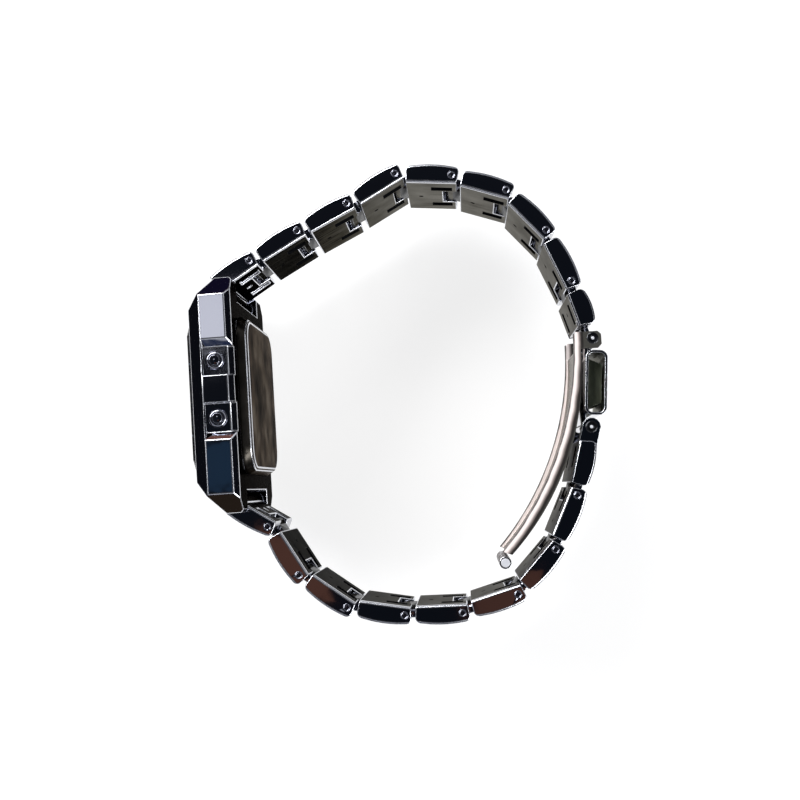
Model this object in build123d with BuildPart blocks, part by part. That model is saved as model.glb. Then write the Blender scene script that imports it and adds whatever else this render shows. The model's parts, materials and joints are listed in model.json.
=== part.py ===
from build123d import *
from math import atan2, cos, degrees, radians, sin
import os

# A chromed digital watch with a folded-link bracelet and an open folding clasp.
# It lies on the 9 o'clock side of its case. +Z points to 3 o'clock, +Y to 12 o'clock, and the
# dial faces -X. The origin is the centre of the flat that the case lies on. Lengths in mm.

# Case, across the wrist (Z), along the bracelet (Y) and front to back (X)
case_width = 35.0
case_length = 42.0
glass_front_x = -5.75
bezel_front_x = -4.65
flank_front_x = -2.2
flank_rear_x = 2.3
case_rear_x = 3.3
bezel_side_slope = 2.5
bezel_end_y = 15.3
end_bevel_x = 0.15
end_chamfer = 0.5
rear_chamfer = 1.0
corner_cut = 3.5
cut_over = 1.0

# Notches in the flanks, each side of the middle block, from the bezel back
block_half = 2.4
notch_end = 7.5
notch_slope = 1.4
notch_depth = 1.2

# Hollow of the case, the window in its front and the seat of the back
cavity_half = 12.6
cavity_front_x = -3.3
cavity_corner = 1.5
window_length = 20.0
window_width = 22.0
window_corner = 1.0
back_seat_half = 13.3
back_seat_x = 2.6

# Front glass, dial mask and liquid crystal panel
glass_length = 26.6
glass_width = 25.0
glass_corner = 2.0
glass_seat_x = -3.95
glass_edge = 0.35
glass_clearance = 0.05
mask_thickness = 0.3
mask_clearance = 0.1
display_length = 9.0
display_width = 17.0
panel_length = 14.0
panel_width = 20.0
panel_thickness = 1.2
part_clearance = 0.05

# Module: plastic frame, circuit board, battery, strap and contact leaves
frame_clearance = 0.4
frame_rear_x = 2.2
board_half = 11.0
board_front_x = -0.2
board_thickness = 0.6
board_pocket_clearance = 0.1
battery_radius = 8.0
battery_height = 1.6
battery_step = 0.4
battery_rim = 0.7
strap_width = 3.6
strap_thickness = 0.2
strap_foot = 1.2
leaf_width = 1.6
leaf_depth = 1.4
leaf_thickness = 0.2
frame_window = 2.4

# Back, with its inner rim and gasket
back_length = 28.6
back_width = 28.0
back_corner = 5.0
back_dome = 2.1
back_bevel_in = 1.6
back_bevel_down = 0.8
back_bevel_blend = 0.35
back_rim_half = 12.5
back_rim_wall = 0.9
back_rim_depth = 0.8
gasket_section = 0.55

# Pushers: depths are counted inwards from the flat of the flank
pusher_middle = 0.8
pusher_y = 5.1
pusher_x = 0.0
pusher_travel = 0.6
pusher_head_radius = 0.95
pusher_head_depth = 0.35
pusher_head_length = 1.35
pusher_edge = 0.15
pusher_stem_radius = 0.5
pusher_clip_radius = 0.9
pusher_clip_thickness = 0.25
pusher_stem_end = 0.5
pusher_fit = 0.05
round_sides = 20
knuckle_sides = 14
small_sides = 10
sleeve_radius = 1.7
sleeve_rise = 0.65
head_bore_depth = 2.65
pusher_gasket_length = 0.25

# Bracelet: links of folded sheet, each with a pin that the next link's tongue turns on
band_width = 20.0
link_pitch = 10.3
end_link_length = 7.4
upper_last_length = 10.9
lower_last_length = 12.4
link_inner_drop = 1.6
link_outer_rise = 1.4
link_crown_rise = 1.95
link_lead_gap = 1.85
link_tail_reach = 1.45
link_lead_slant = 0.2
link_tail_slant = 0.5
link_corner_cut = 0.6
link_corner_blend = 0.2
link_edge_chamfer = 0.3
end_body_length = 7.7
end_lead_rise = 1.7
end_lead_slant = 0.8
tongue_half = 3.7
tongue_radius = 1.3
tongue_drop = 1.15
tongue_clearance = 0.25
pin_radius = 0.5
pin_clearance = 0.05
pin_recess = 0.15
dimple_radius = 0.45
dimple_depth = 0.4
dimple_lead = 2.7
dimple_sides = 8
slot_length = 3.9
slot_width = 2.4
slot_depth = 0.5
slot_offset = 5.6
slot_tail = 1.3

# Headings of the links at rest, in degrees from +X, as the bracelet lies in its loop
upper_headings = (49, 28, 25, 28, -6, -20, -50, -68, -74)
lower_headings = (-42, -60, -37, -11, -1, 15, 46, 64, 74)
end_body_headings = (31, -33)

# Spring bars between the ends of the case
bar_x = 1.0
bar_end_gap = 2.1
bar_radius = 0.7
bar_tip_radius = 0.4
bar_tip_length = 0.8
bar_fit = 0.05
bar_eye_radius = 1.5
lug_slot_radius = 1.8
lug_mouth_x = 2.2
lug_mouth_y = 0.3
lug_side_clearance = 0.25

# Folding clasp
cover_inner_drop = 1.2
cover_outer_rise = 2.7
cover_wall = 0.5
cover_corner = 1.4
cover_end_gap = 2.15
cover_half = 9.6
cover_eye_radius = 1.4
cover_upper_eye_near = 4.0
cover_upper_eye_far = 7.5
cover_lower_eye_half = 6.9
latch_half = 7.0
latch_end_gap = 1.3
latch_slope = 1.0
latch_clearance = 0.15
seat_half = 3.5
seat_inner_radius = 0.9
seat_outer_radius = 1.65
seat_neck_half = 0.7
seat_start_angle = 120
seat_end_angle = 225
relief_clearance = 0.2
relief_radius = 3.8
ear_near = 7.3
ear_far = 9.8
ear_radius = 1.65
last_body_gap = 2.4
blade_turn = -16.5
blade_radius_shares = 5.087
blade_crown_shares = 2.034
blade_crown_v = 1.3
blade_end_shares = 4.0
blade_start_u = 0.3
blade_plate_start_u = 3.0
blade_plate_half = 8.4
blade_plate_thickness = 0.6
blade_rail_near = 8.0
blade_rail_far = 9.2
blade_rail_start_half = 0.6
blade_rail_middle_half = 1.05
blade_rail_end_half = 0.9
blade_ear_turn = 21.8
blade_ear_inward = 3.0
blade_ear_outward = 1.55
blade_ear_above = 1.25
blade_ear_below = 1.75
blade_ear_corner = 0.6
tube_shares = 4.165
tube_v = -2.6
tube_radius = 1.1
tube_groove_depth = 0.25
tube_groove_width = 0.7
tube_groove_spacing = 3.2
tube_grooves = 5
tube_sides = 16

# Places worked out from the sizes above
case_middle = case_width / 2
half_length = case_length / 2
half_band = band_width / 2
bar_y = half_length - bar_end_gap
frame_half = cavity_half - frame_clearance
pocket_half = board_half + board_pocket_clearance
stem_depth = case_middle - cavity_half
clip_depth = stem_depth + pusher_fit
stem_end_depth = clip_depth + pusher_stem_end
leaf_depth_from_flank = case_middle - board_half - leaf_thickness
# the blade grows with the links that it folds over
blade_radius = blade_radius_shares * link_pitch
blade_crown_u = blade_crown_shares * link_pitch
blade_end_u = blade_end_shares * link_pitch
tube_u = tube_shares * link_pitch
pusher_places = [(side, end) for side in (1, -1) for end in (1, -1)]
pusher_names = {(1, 1): "2_oclock", (1, -1): "4_oclock", (-1, 1): "10_oclock", (-1, -1): "8_oclock"}


def save(piece, name):
    """Label a finished piece and write it as its own STEP file."""
    piece.part.label = name
    export_step(piece.part, f"parts/{name}.step")


def across(x):
    """A plane square to X, centred on the case: its x is +Y and its y is +Z."""
    return Plane(origin=(x, 0, case_middle), x_dir=(0, 1, 0), z_dir=(1, 0, 0))


def flank(side, depth=0.0):
    """A plane on one flank of the case, facing outwards, this far inside it."""
    height = case_middle + side * (case_middle - depth)
    return Plane(origin=(0, 0, height), x_dir=(1, 0, 0), z_dir=(0, 0, side))


def pusher_place(side, end):
    """A pusher's axis on its flank's plane."""
    return (pusher_x, side * (pusher_middle + end * pusher_y))


def link_plane(pivot, heading, side):
    """A link's plane at mid-width: x along the link, y towards the outside of the loop."""
    direction = (cos(radians(heading)), sin(radians(heading)), 0)
    return Plane(origin=(pivot[0], pivot[1], case_middle), x_dir=direction, z_dir=(0, 0, side))


def walk(start, headings, lengths):
    """The pivots of a chain, from its start."""
    pivots = [start]
    for heading, length in zip(headings, lengths):
        x, y = pivots[-1]
        pivots.append((x + length * cos(radians(heading)), y + length * sin(radians(heading))))
    return pivots


def turned(plane, place, steps, mode=Mode.ADD):
    """Round steps on one axis, each (radius, sides, depth where it starts, depth where it ends)."""
    for radius, sides, near, far in steps:
        with BuildSketch(plane.offset(-near)) as disc:
            with Locations(place):
                RegularPolygon(radius, sides)
        extrude(disc.sketch, amount=near - far, mode=mode)


# Both chains start at the spring bars and meet at the clasp
upper_lengths = [end_link_length] + [link_pitch] * (len(upper_headings) - 2) + [upper_last_length]
lower_lengths = [end_link_length] + [link_pitch] * (len(lower_headings) - 2) + [lower_last_length]
upper_pivots = walk((bar_x, bar_y), upper_headings, upper_lengths)
lower_pivots = walk((bar_x, -bar_y), lower_headings, lower_lengths)
clasp_top = Vector(*upper_pivots[-1], 0)
clasp_bottom = Vector(*lower_pivots[-1], 0)
cover_run = clasp_bottom - clasp_top
cover_span = cover_run.length
cover_heading = degrees(atan2(cover_run.Y, cover_run.X))

os.makedirs("parts", exist_ok=True)

# Case body: three prisms crossed give the facets, then it is hollowed from the back
with BuildPart() as case_body:
    with BuildSketch(Plane.XY.offset(case_middle)):
        with BuildLine():
            Polyline(
                (bezel_front_x, bezel_end_y),
                (end_bevel_x, half_length),
                (case_rear_x - end_chamfer, half_length),
                (case_rear_x, half_length - end_chamfer),
                (case_rear_x, end_chamfer - half_length),
                (case_rear_x - end_chamfer, -half_length),
                (end_bevel_x, -half_length),
                (bezel_front_x, -bezel_end_y),
                close=True,
            )
        make_face()
    extrude(amount=case_middle, both=True)
    with BuildSketch(Plane.XZ):
        with BuildLine():
            Polyline(
                (bezel_front_x, bezel_side_slope),
                (flank_front_x, 0),
                (flank_rear_x, 0),
                (case_rear_x, rear_chamfer),
                (case_rear_x, case_width - rear_chamfer),
                (flank_rear_x, case_width),
                (flank_front_x, case_width),
                (bezel_front_x, case_width - bezel_side_slope),
                close=True,
            )
        make_face()
    extrude(amount=case_length, both=True, mode=Mode.INTERSECT)
    with BuildSketch(across(0)) as case_outline:
        Rectangle(case_length, case_width)
        chamfer(case_outline.vertices(), corner_cut)
    extrude(amount=case_length, both=True, mode=Mode.INTERSECT)
    # hollow, the wider seat of the back, the seat of the glass and the window
    with BuildSketch(across(cavity_front_x)):
        RectangleRounded(2 * cavity_half, 2 * cavity_half, cavity_corner)
    extrude(amount=case_length, mode=Mode.SUBTRACT)
    with BuildSketch(across(back_seat_x)):
        RectangleRounded(2 * back_seat_half, 2 * back_seat_half, cavity_corner)
    extrude(amount=case_length, mode=Mode.SUBTRACT)
    with BuildSketch(across(glass_seat_x)) as glass_seat:
        Rectangle(glass_length + 2 * glass_clearance, glass_width + 2 * glass_clearance)
        chamfer(glass_seat.vertices(), glass_corner)
    extrude(amount=-case_length, mode=Mode.SUBTRACT)
    with BuildSketch(across(cavity_front_x + cut_over)):
        RectangleRounded(window_length, window_width, window_corner)
    extrude(amount=-case_length, mode=Mode.SUBTRACT)
    # notches for the pushers, with the bevel of the rear edge carried round them
    bevel_reach = case_rear_x + cut_over - flank_rear_x
    bevel_drop = rear_chamfer * bevel_reach / (case_rear_x - flank_rear_x)
    for side, end in pusher_places:
        floor_z = side * (case_middle - notch_depth)
        open_z = side * (case_middle + cut_over)
        slope_run = notch_slope * (notch_depth + cut_over) / notch_depth
        with BuildSketch(across(flank_front_x)):
            with BuildLine():
                Polyline(
                    (pusher_middle + end * block_half, open_z),
                    (pusher_middle + end * block_half, floor_z),
                    (pusher_middle + end * notch_end, floor_z),
                    (pusher_middle + end * (notch_end + slope_run), open_z),
                    close=True,
                )
            make_face()
        extrude(amount=case_length, mode=Mode.SUBTRACT)
        notch_y = pusher_middle + end * (block_half + notch_end) / 2
        with BuildSketch(Plane(origin=(0, notch_y, case_middle), x_dir=(1, 0, 0), z_dir=(0, -1, 0))):
            with BuildLine():
                Polyline(
                    (flank_rear_x, floor_z),
                    (flank_rear_x + bevel_reach, floor_z - side * bevel_drop),
                    (flank_rear_x + bevel_reach, open_z),
                    (flank_rear_x, open_z),
                    close=True,
                )
            make_face()
        extrude(amount=(notch_end - block_half) / 2, both=True, mode=Mode.SUBTRACT)
    # bores for the pushers' heads and stems
    for side, end in pusher_places:
        place = pusher_place(side, end)
        head_bore = (pusher_head_radius + pusher_fit, round_sides, 0, head_bore_depth)
        stem_bore = (pusher_stem_radius + pusher_fit, small_sides, 0, stem_depth + cut_over)
        turned(flank(side), place, [head_bore, stem_bore], Mode.SUBTRACT)
    # slots and holes for the end links and their spring bars
    for side in (1, -1):
        lug = Plane(origin=(0, 0, case_middle), x_dir=(1, 0, 0), z_dir=(0, 0, side))
        with BuildSketch(lug):
            with Locations((bar_x, bar_y)):
                Circle(lug_slot_radius)
            with Locations((bar_x - lug_mouth_x, bar_y + lug_mouth_y)):
                Rectangle(case_length, half_length, align=(Align.MIN, Align.MIN))
            with Locations((bar_x, bar_y - lug_slot_radius)):
                Rectangle(case_length, half_length, align=(Align.MIN, Align.MIN))
        extrude(amount=half_band + lug_side_clearance, both=True, mode=Mode.SUBTRACT)
        with BuildSketch(lug):
            with Locations((bar_x, bar_y)):
                RegularPolygon(bar_tip_radius + bar_fit, small_sides)
        bar_hole = half_band + lug_side_clearance + bar_tip_length + bar_fit
        extrude(amount=bar_hole, both=True, mode=Mode.SUBTRACT)
save(case_body, "case_body")

# Front glass: a slab with cut corners and a bevelled edge, standing proud of the bezel
with BuildPart() as front_glass:
    with BuildSketch(across(glass_seat_x)) as glass_outline:
        Rectangle(glass_length, glass_width)
        chamfer(glass_outline.vertices(), glass_corner)
    extrude(amount=glass_front_x - glass_seat_x)
    chamfer(front_glass.faces().sort_by(Axis.X)[0].edges(), glass_edge)
save(front_glass, "front_glass")

# Dial mask: the printed plate under the glass, with the opening of the display
with BuildPart() as dial_mask:
    with BuildSketch(across(glass_seat_x)):
        RectangleRounded(
            window_length - 2 * mask_clearance, window_width - 2 * mask_clearance, window_corner
        )
        Rectangle(display_length, display_width, mode=Mode.SUBTRACT)
    extrude(amount=mask_thickness)
save(dial_mask, "dial_mask")

panel_front_x = glass_seat_x + mask_thickness
with BuildPart() as lcd_panel:
    with BuildSketch(across(panel_front_x)):
        Rectangle(panel_length, panel_width)
    extrude(amount=panel_thickness)
save(lcd_panel, "lcd_panel")

# Module frame: holds the panel in front and the board behind, with windows for the stems
panel_rear_x = panel_front_x + panel_thickness
with BuildPart() as module_frame:
    with BuildSketch(across(cavity_front_x + part_clearance)):
        RectangleRounded(2 * frame_half, 2 * frame_half, cavity_corner)
    extrude(amount=frame_rear_x - cavity_front_x - part_clearance)
    with BuildSketch(across(panel_rear_x)):
        Rectangle(panel_length + 2 * part_clearance, panel_width + 2 * part_clearance)
    extrude(amount=cavity_front_x - panel_rear_x, mode=Mode.SUBTRACT)
    with BuildSketch(across(board_front_x)):
        Rectangle(2 * pocket_half, 2 * pocket_half)
    extrude(amount=case_length, mode=Mode.SUBTRACT)
    for side, end in pusher_places:
        with BuildSketch(flank(side, case_middle - frame_half)):
            with Locations(pusher_place(side, end)):
                Rectangle(frame_window, frame_window)
        extrude(amount=board_half - frame_half, mode=Mode.SUBTRACT)
save(module_frame, "module_frame")

board_rear_x = board_front_x + board_thickness
with BuildPart() as circuit_board:
    with BuildSketch(across(board_front_x)):
        Rectangle(2 * board_half, 2 * board_half)
    extrude(amount=board_thickness)
save(circuit_board, "circuit_board")

with BuildPart() as battery:
    with BuildSketch(across(board_rear_x)):
        Circle(battery_radius - battery_rim)
    extrude(amount=battery_step)
    with BuildSketch(across(board_rear_x + battery_step)):
        Circle(battery_radius)
    extrude(amount=battery_height - battery_step)
save(battery, "battery")

# Battery strap: a bar over the battery with a leg down to the board at each end
battery_rear_x = board_rear_x + battery_height
strap_half = battery_radius + strap_foot
with BuildPart() as battery_strap:
    with BuildSketch(across(battery_rear_x)):
        Rectangle(2 * strap_half, strap_width)
    extrude(amount=strap_thickness)
    for end in (1, -1):
        with BuildSketch(across(board_rear_x)):
            with Locations((end * (strap_half - strap_thickness / 2), 0)):
                Rectangle(strap_thickness, strap_width)
        extrude(amount=battery_height + strap_thickness)
save(battery_strap, "battery_strap")

# Contact leaves: one for each pusher, on the edge of the board, just past the stem's travel
with BuildPart() as contact_leaves:
    for side, end in pusher_places:
        with BuildSketch(flank(side, leaf_depth_from_flank)):
            with Locations(pusher_place(side, end)):
                Rectangle(leaf_depth, leaf_width)
        extrude(amount=-leaf_thickness)
save(contact_leaves, "contact_leaves")

# Back: a domed plate with a rim that snaps into the case
with BuildPart() as case_back:
    with BuildSketch(across(case_rear_x)):
        RectangleRounded(back_length, back_width, back_corner)
    extrude(amount=back_dome)
    dome = case_back.faces().sort_by(Axis.X)[-1]
    chamfer(dome.edges(), back_bevel_down, back_bevel_in, reference=dome)
    chamfer(case_back.faces().sort_by(Axis.X)[-1].edges(), back_bevel_blend)
    with BuildSketch(across(case_rear_x)):
        RectangleRounded(2 * back_rim_half, 2 * back_rim_half, cavity_corner)
        offset_half = back_rim_half - back_rim_wall
        Rectangle(2 * offset_half, 2 * offset_half, mode=Mode.SUBTRACT)
    extrude(amount=-back_rim_depth)
save(case_back, "case_back")

with BuildPart() as back_gasket:
    with BuildSketch(across(case_rear_x - gasket_section)):
        outer_half = back_seat_half - part_clearance
        inner_half = back_rim_half + part_clearance
        RectangleRounded(2 * outer_half, 2 * outer_half, cavity_corner)
        RectangleRounded(2 * inner_half, 2 * inner_half, cavity_corner, mode=Mode.SUBTRACT)
    extrude(amount=gasket_section)
save(back_gasket, "back_gasket")

# Pushers: a head in its sleeve, a stem through the wall and a clip that keeps it in
for side, end in pusher_places:
    place = pusher_place(side, end)
    head_end = pusher_head_depth + pusher_head_length
    with BuildPart() as pusher:
        head = (pusher_head_radius, round_sides, pusher_head_depth, head_end)
        turned(flank(side), place, [head])
        rim = pusher.faces().group_by(Axis.Z)[-1 if side > 0 else 0].edges()
        chamfer(rim, pusher_edge)
        stem = (pusher_stem_radius, small_sides, head_end, stem_end_depth)
        clip = (pusher_clip_radius, small_sides, clip_depth, clip_depth + pusher_clip_thickness)
        turned(flank(side), place, [stem, clip])
    save(pusher, f"pusher_{pusher_names[side, end]}")

with BuildPart() as pusher_sleeves:
    for side, end in pusher_places:
        place = pusher_place(side, end)
        sleeve = (sleeve_radius, round_sides, notch_depth - sleeve_rise, notch_depth)
        turned(flank(side), place, [sleeve])
        bore = (pusher_head_radius + pusher_fit, round_sides, 0, notch_depth)
        turned(flank(side), place, [bore], Mode.SUBTRACT)
save(pusher_sleeves, "pusher_sleeves")

with BuildPart() as pusher_gaskets:
    for side, end in pusher_places:
        with BuildSketch(flank(side, head_bore_depth)):
            with Locations(pusher_place(side, end)):
                RegularPolygon(pusher_head_radius, small_sides)
                RegularPolygon(pusher_stem_radius + pusher_fit, small_sides, mode=Mode.SUBTRACT)
        extrude(amount=pusher_gasket_length)
save(pusher_gaskets, "pusher_gaskets")

# Spring bars: a bar with a thinner tip in each lug
for name, side in (("upper", 1), ("lower", -1)):
    with BuildPart() as spring_bar:
        bar = Plane(origin=(0, 0, case_middle), x_dir=(1, 0, 0), z_dir=(0, 0, side))
        for radius, reach in (
            (bar_radius, half_band + lug_side_clearance - bar_fit),
            (bar_tip_radius, half_band + lug_side_clearance + bar_tip_length),
        ):
            with BuildSketch(bar):
                with Locations((bar_x, bar_y)):
                    RegularPolygon(radius, small_sides)
            extrude(amount=reach, both=True)
    save(spring_bar, f"spring_bar_{name}")


def link_outline(start_u, end_u, start_v, lead_slant):
    """The side view of a folded link: flat on the skin, arched outside, with its corners cut."""
    with BuildLine() as outline:
        inner = Polyline(
            (start_u, start_v),
            (start_u + lead_slant, -link_inner_drop),
            (end_u - link_tail_slant, -link_inner_drop),
            (end_u, link_outer_rise),
        )
        ThreePointArc(inner @ 1, ((start_u + end_u) / 2, link_crown_rise), inner @ 0)
    make_face(outline.edges())


def soften(side_view, plane, least_u):
    """Cut the outer corners of a link's outline past this place, twice, so that they look round."""
    for size in (link_corner_cut, link_corner_blend):
        places = [(v, plane.to_local_coords(v)) for v in side_view.vertices()]
        outer = [v for v, place in places if place.Y > link_corner_cut and place.X > least_u]
        chamfer(outer, size)


def break_crown(link):
    """Break the two long edges of the crown."""
    chamfer(link.edges().filter_by(GeomType.CIRCLE), link_edge_chamfer)


def break_folds(link, plane):
    """Break the two long edges of the inner face, where the sheet is folded."""
    chamfer(link.edges().filter_by(Axis(plane.origin, plane.x_dir)), link_edge_chamfer)


def inner_marks(plane, start_u, end_u):
    """The dimple and the two fold slots of a link's inner face."""
    face = Plane(
        origin=plane.from_local_coords(Vector(start_u + dimple_lead, -link_inner_drop, 0)),
        x_dir=plane.x_dir,
        z_dir=plane.y_dir,
    )
    with BuildSketch(face) as dimple:
        RegularPolygon(dimple_radius, dimple_sides)
    extrude(dimple.sketch, amount=dimple_depth, mode=Mode.SUBTRACT)
    slot_end = end_u - slot_tail
    for side in (1, -1):
        with BuildSketch(plane.offset(side * slot_offset - slot_width / 2)) as slot:
            with Locations((slot_end, -link_inner_drop)):
                Rectangle(slot_length, 2 * slot_depth, align=(Align.MAX, Align.CENTER))
        extrude(slot.sketch, amount=slot_width, mode=Mode.SUBTRACT)


def tongue(plane):
    """The middle strip that turns on the pin of the link before."""
    with BuildSketch(plane.offset(-tongue_half)) as strip:
        RegularPolygon(tongue_radius, knuckle_sides)
        with Locations((0, -tongue_drop)):
            Rectangle(link_lead_gap + cut_over, 2 * tongue_drop, align=(Align.MIN, Align.MIN))
        RegularPolygon(pin_radius + pin_clearance, small_sides, mode=Mode.SUBTRACT)
    extrude(strip.sketch, amount=2 * tongue_half)


def tail_notch(plane, length):
    """The gap in a link's tail for the next tongue, and the hole for the pin across it."""
    half = tongue_half + tongue_clearance
    with BuildSketch(plane.offset(-half)) as gap:
        with Locations((length - tongue_radius - tongue_clearance, 0)):
            Rectangle(link_pitch, 2 * band_width, align=(Align.MIN, Align.CENTER))
    extrude(gap.sketch, amount=2 * half, mode=Mode.SUBTRACT)
    with BuildSketch(plane.offset(-half_band)) as hole:
        with Locations((length, 0)):
            RegularPolygon(pin_radius, small_sides)
    extrude(hole.sketch, amount=band_width, mode=Mode.SUBTRACT)


def hinge_pin(plane, length, half):
    """A straight pin across the link, a little short of its side faces."""
    with BuildPart() as pin:
        with BuildSketch(plane.offset(pin_recess - half)):
            with Locations((length, 0)):
                RegularPolygon(pin_radius, small_sides)
        extrude(amount=2 * (half - pin_recess))
    return pin


def link_body(plane, end_u):
    """The body that all links but the first have, from the gap behind the pin before it."""
    with BuildSketch(plane.offset(-half_band)) as side_view:
        link_outline(link_lead_gap, end_u, link_outer_rise, link_lead_slant)
        soften(side_view, plane, 0)
    extrude(side_view.sketch, amount=band_width)


def chain_link(plane, length):
    """A link of the run: body, tongue in front, notch behind."""
    end_u = length + link_tail_reach
    with BuildPart() as link:
        link_body(plane, end_u)
        break_crown(link)
        break_folds(link, plane)
        inner_marks(plane, link_lead_gap, end_u)
        tail_notch(plane, length)
        tongue(plane)
    return link


def end_link(plane, length):
    """The first link: it covers the end of the case, with an eye below it for the spring bar."""
    end_u = length + link_tail_reach
    bar_place = plane.to_local_coords(Vector(bar_x, bar_y if plane.z_dir.Z > 0 else -bar_y, case_middle))
    eye_place = (bar_place.X, bar_place.Y)
    with BuildPart() as link:
        with BuildSketch(plane.offset(-half_band)) as side_view:
            link_outline(0, end_u, end_lead_rise, end_lead_slant)
            soften(side_view, plane, link_pitch / 2)
        extrude(side_view.sketch, amount=band_width)
        break_crown(link)
        break_folds(link, plane)
        with BuildSketch(plane.offset(-half_band)) as eye:
            with Locations(eye_place):
                RegularPolygon(bar_eye_radius, knuckle_sides)
        extrude(eye.sketch, amount=band_width)
        with BuildSketch(plane.offset(-half_band)) as hole:
            with Locations(eye_place):
                RegularPolygon(bar_radius + bar_fit, small_sides)
        extrude(hole.sketch, amount=band_width, mode=Mode.SUBTRACT)
        inner_marks(plane, link_lead_gap, end_u)
        tail_notch(plane, length)
    return link


def upper_last_link(plane, length):
    """The last upper link: its tail is a narrow seat that bears on the upper clasp pin.

    The bracelet's loop is opened here, so the seat leaves the pin free outwards and inwards.
    """
    end_u = length - last_body_gap
    with BuildPart() as link:
        link_body(plane, end_u)
        break_crown(link)
        break_folds(link, plane)
        inner_marks(plane, link_lead_gap, end_u)
        tongue(plane)
        # room for the blade's ears and rails to swing past the tail
        relief_near = blade_rail_near - relief_clearance
        relief_width = blade_rail_far + relief_clearance - relief_near
        for low in (relief_near, -relief_near - relief_width):
            with BuildSketch(plane.offset(low)) as relief:
                with Locations((length - relief_radius, 0)):
                    Rectangle(link_pitch, band_width, align=(Align.MIN, Align.CENTER))
            extrude(relief.sketch, amount=relief_width, mode=Mode.SUBTRACT)
        with BuildSketch(plane.offset(-seat_half)) as seat:
            with BuildLine() as sector:
                sweep_angle = seat_end_angle - seat_start_angle
                outer = CenterArc((length, 0), seat_outer_radius, seat_start_angle, sweep_angle)
                inner = CenterArc((length, 0), seat_inner_radius, seat_start_angle, sweep_angle)
                Line(outer @ 0, inner @ 0)
                Line(outer @ 1, inner @ 1)
            make_face(sector.edges())
            neck_length = last_body_gap - seat_inner_radius + seat_neck_half
            with Locations((length - seat_inner_radius - neck_length, 0)):
                Rectangle(
                    neck_length - (seat_outer_radius - seat_inner_radius) / 2,
                    2 * seat_neck_half,
                    align=(Align.MIN, Align.CENTER),
                )
        extrude(seat.sketch, amount=2 * seat_half)
    return link


def lower_last_link(plane, length):
    """The last lower link: two ears at its tail hold the cover's pin."""
    end_u = length - last_body_gap
    with BuildPart() as link:
        link_body(plane, end_u)
        break_crown(link)
        break_folds(link, plane)
        inner_marks(plane, link_lead_gap, end_u)
        tongue(plane)
        for low in (ear_near, -ear_far):
            with BuildSketch(plane.offset(low)) as ear:
                with Locations((length, 0)):
                    RegularPolygon(ear_radius, knuckle_sides)
                with Locations((length, -link_inner_drop)):
                    Rectangle(last_body_gap + cut_over, 2 * link_inner_drop, align=(Align.MAX, Align.MIN))
                with Locations((length, 0)):
                    RegularPolygon(pin_radius, small_sides, mode=Mode.SUBTRACT)
            extrude(ear.sketch, amount=ear_far - ear_near)
    return link


# The two runs of links and their pins, from the case to the clasp
runs = (
    ("upper", upper_pivots, upper_headings, upper_lengths, 1, upper_last_link),
    ("lower", lower_pivots, lower_headings, lower_lengths, -1, lower_last_link),
)
for name, pivots, headings, lengths, side, last_link in runs:
    # the end link lies flatter than the line from its spring bar to its pin
    end_plane = link_plane(pivots[1], end_body_headings[0 if side > 0 else 1], side)
    end_plane = Plane(
        origin=end_plane.from_local_coords(Vector(-end_body_length, 0, 0)),
        x_dir=end_plane.x_dir,
        z_dir=end_plane.z_dir,
    )
    save(end_link(end_plane, end_body_length), f"{name}_link_1")
    save(hinge_pin(end_plane, end_body_length, half_band), f"{name}_pin_1")
    makers = [chain_link] * (len(headings) - 2) + [last_link]
    for number, make_link in enumerate(makers, 1):
        plane = link_plane(pivots[number], headings[number], side)
        save(make_link(plane, lengths[number]), f"{name}_link_{number + 1}")
        if make_link is not last_link:
            save(hinge_pin(plane, lengths[number], half_band), f"{name}_pin_{number + 1}")

# Pins of the clasp: the lower one in the last lower link, the upper one in the cover
lower_end = link_plane(lower_pivots[-2], lower_headings[-1], -1)
save(hinge_pin(lower_end, lower_last_length, ear_far), "clasp_pin_lower")
cover_plane = link_plane(upper_pivots[-1], cover_heading, 1)
save(hinge_pin(cover_plane, 0, blade_rail_far), "clasp_pin_upper")

# Clasp cover: sheet folded to a flattened loop, open at both sides, with rolled eyes at its ends
cover_height = cover_inner_drop + cover_outer_rise
cover_centre = (cover_span / 2, (cover_outer_rise - cover_inner_drop) / 2)
strap_end = cover_end_gap + cover_height / 2
with BuildPart() as clasp_cover:
    with BuildSketch(cover_plane.offset(-cover_half)):
        with Locations(cover_centre):
            loop_length = cover_span - 2 * cover_end_gap
            RectangleRounded(loop_length, cover_height, cover_corner)
            RectangleRounded(
                loop_length - 2 * cover_wall,
                cover_height - 2 * cover_wall,
                cover_corner - cover_wall,
                mode=Mode.SUBTRACT,
            )
    extrude(amount=2 * cover_half)
    for eye_u, strap_u, low, high in (
        (0, strap_end, cover_upper_eye_near, cover_upper_eye_far),
        (0, strap_end, -cover_upper_eye_far, -cover_upper_eye_near),
        (cover_span, cover_span - strap_end, -cover_lower_eye_half, cover_lower_eye_half),
    ):
        with BuildSketch(cover_plane.offset(low)):
            with Locations((eye_u, 0)):
                RegularPolygon(cover_eye_radius, knuckle_sides)
            with Locations((min(eye_u, strap_u), -cover_inner_drop)):
                Rectangle(strap_end, cover_wall, align=(Align.MIN, Align.MIN))
            with Locations((eye_u, 0)):
                eye_hole = pin_radius if eye_u == 0 else pin_radius + pin_clearance
                RegularPolygon(eye_hole, small_sides, mode=Mode.SUBTRACT)
        extrude(amount=high - low)
save(clasp_cover, "clasp_cover")

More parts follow.
